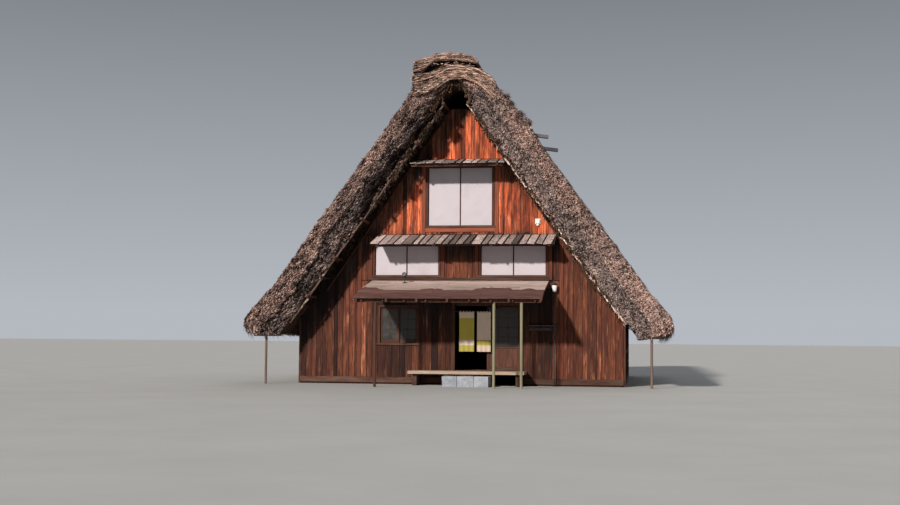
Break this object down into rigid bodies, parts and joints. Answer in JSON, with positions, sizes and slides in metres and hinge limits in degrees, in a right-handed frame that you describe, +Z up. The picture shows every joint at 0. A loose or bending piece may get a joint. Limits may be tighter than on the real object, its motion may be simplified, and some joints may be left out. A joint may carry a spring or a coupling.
{
  "type": "thatched minka farmhouse",
  "caption": "Steep A-frame thatched farmhouse: boarded gable walls, white window screens, board pent roofs, awning over a sliding-door entrance with hung curtain.",
  "frame": {"origin": "ground level under the middle of the building's bounding box", "axes": "+Y into the house from the entrance gable, along the ridge; +X to the right of the entrance gable; +Z up"},
  "size_m": [11.78, 14.58, 9.14],
  "materials": {
    "thatch": "weathered reed thatch, matt",
    "ridge_straw": "weathered straw bundles, matt",
    "red_boards": "vertical boards, red-brown, weathered",
    "dark_timber": "dark aged timber",
    "grey_boards": "bare silver-grey weathered boards",
    "awning_boards": "pale weathered boards",
    "awning_edge": "brown eave boards",
    "paper_screen": "white translucent screen, matt",
    "floor_timber": "worn floor boards",
    "bamboo": "pale green pole, satin",
    "pale_pole": "barked pole, weathered",
    "stone": "rough grey stone",
    "olive_cloth": "woven curtain, olive with a white band",
    "beige_cloth": "woven curtain, beige with an olive band",
    "cream_paint": "cream paint, satin",
    "grey_metal": "grey paint, satin"
  },
  "bodies": {
    "building": {"awning_frame": "dark_timber", "awning_post_left": "dark_timber", "awning_post_middle": "bamboo", "awning_post_right": "bamboo", "awning_roof_lower": "awning_edge", "awning_roof_upper": "awning_boards", "awning_spotlight": "grey_metal", "back_gable_top": "red_boards", "back_pent_middle": "grey_boards", "back_pent_upper": "grey_boards", "back_wall_ground": "red_boards", "back_wall_middle": "red_boards", "back_wall_upper": "red_boards", "back_window_left": "paper_screen", "back_window_right": "paper_screen", "back_window_upper": "paper_screen", "door_leaf_fixed": "dark_timber", "eave_post_left": "pale_pole", "eave_post_right": "pale_pole", "entrance_deck": "floor_timber", "entrance_frame": "dark_timber", "entrance_step": "stone", "front_gable_top": "red_boards", "front_pent_middle": "grey_boards", "front_pent_upper": "grey_boards", "front_wall_left": "red_boards", "front_wall_middle": "red_boards", "front_wall_over_door": "red_boards", "front_wall_right": "red_boards", "front_wall_upper": "red_boards", "ground_floor": "floor_timber", "ground_window": "dark_timber", "lamp_pole": "cream_paint", "middle_floor": "floor_timber", "noren_left": "olive_cloth", "noren_right": "beige_cloth", "ridge_cap_lower": "ridge_straw", "ridge_cap_upper": "ridge_straw", "roof_pole_lower": "dark_timber", "roof_pole_upper": "dark_timber", "side_wall_left": "red_boards", "side_wall_right": "red_boards", "thatch_left_slope": "thatch", "thatch_right_slope": "thatch", "upper_floor": "floor_timber", "verge_rafter_back_left": "pale_pole", "verge_rafter_back_right": "pale_pole", "verge_rafter_front_left": "pale_pole", "verge_rafter_front_right": "pale_pole", "wall_lamp": "cream_paint", "window_frame_left": "dark_timber", "window_frame_right": "dark_timber", "window_frame_upper": "dark_timber", "window_screen_left": "paper_screen", "window_screen_right": "paper_screen", "window_screen_upper": "paper_screen"},
    "door": {"door_leaf_sliding": "dark_timber"}
  },
  "joints": [
    {"name": "door_slide", "type": "slide", "parent": "building", "child": "door", "axis": [-1, 0, 0], "range_m": [0, 0.895]}
  ]
}
